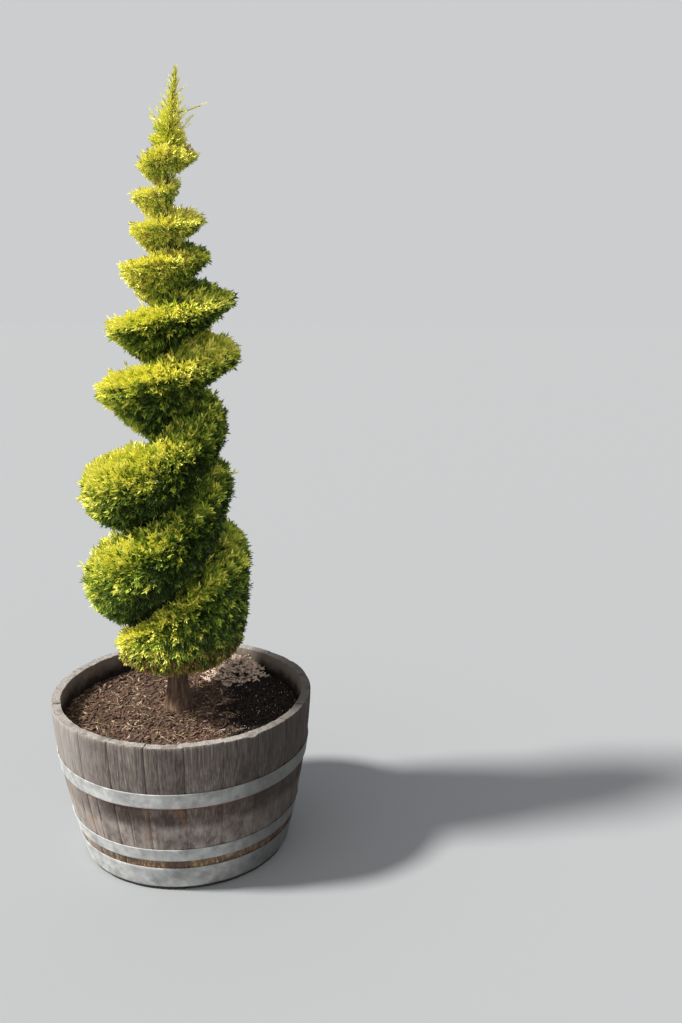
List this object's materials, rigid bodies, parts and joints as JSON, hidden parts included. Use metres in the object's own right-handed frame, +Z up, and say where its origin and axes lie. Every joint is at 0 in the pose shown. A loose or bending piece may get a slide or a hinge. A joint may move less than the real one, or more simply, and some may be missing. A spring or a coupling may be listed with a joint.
{
  "type": "spiral topiary in a half barrel planter",
  "caption": "Golden conifer clipped to a spiral on one trunk, standing in a weathered oak half barrel with steel hoops.",
  "frame": {"origin": "centre of the barrel's underside, on the ground", "axes": "+Z up along the plant; +X towards the plant's right in the picture, +Y away from the viewer"},
  "size_m": [0.67, 0.67, 1.94],
  "materials": {
    "staves": "weathered grey oak",
    "hoops": "dull galvanised steel with light rust",
    "soil": "dark potting soil with bark chips",
    "bark": "stringy red-brown bark",
    "foliage": "matt golden-green scale leaves"
  },
  "bodies": {
    "root": {"stave_01": "staves", "stave_02": "staves", "stave_03": "staves", "stave_04": "staves", "stave_05": "staves", "stave_06": "staves", "stave_07": "staves", "stave_08": "staves", "stave_09": "staves", "stave_10": "staves", "stave_11": "staves", "stave_12": "staves", "stave_13": "staves", "stave_14": "staves", "stave_15": "staves", "stave_16": "staves", "stave_17": "staves", "stave_18": "staves", "stave_19": "staves", "stave_20": "staves", "stave_21": "staves", "stave_22": "staves", "head_board": "staves", "hoop_upper": "hoops", "hoop_middle": "hoops", "hoop_foot": "hoops", "soil": "soil", "trunk": "bark", "foliage_01": "foliage", "foliage_02": "foliage", "foliage_03": "foliage", "foliage_04": "foliage", "foliage_05": "foliage", "foliage_06": "foliage", "foliage_07": "foliage", "foliage_08": "foliage", "foliage_09": "foliage", "foliage_10": "foliage", "foliage_11": "foliage", "foliage_12": "foliage", "foliage_13": "foliage", "foliage_14": "foliage", "foliage_15": "foliage", "foliage_16": "foliage", "foliage_17": "foliage", "foliage_18": "foliage", "foliage_19": "foliage", "foliage_20": "foliage", "foliage_21": "foliage", "foliage_22": "foliage", "foliage_23": "foliage", "foliage_24": "foliage", "foliage_25": "foliage", "foliage_26": "foliage", "foliage_27": "foliage", "foliage_28": "foliage", "foliage_29": "foliage", "leader": "foliage"}
  },
  "joints": []
}
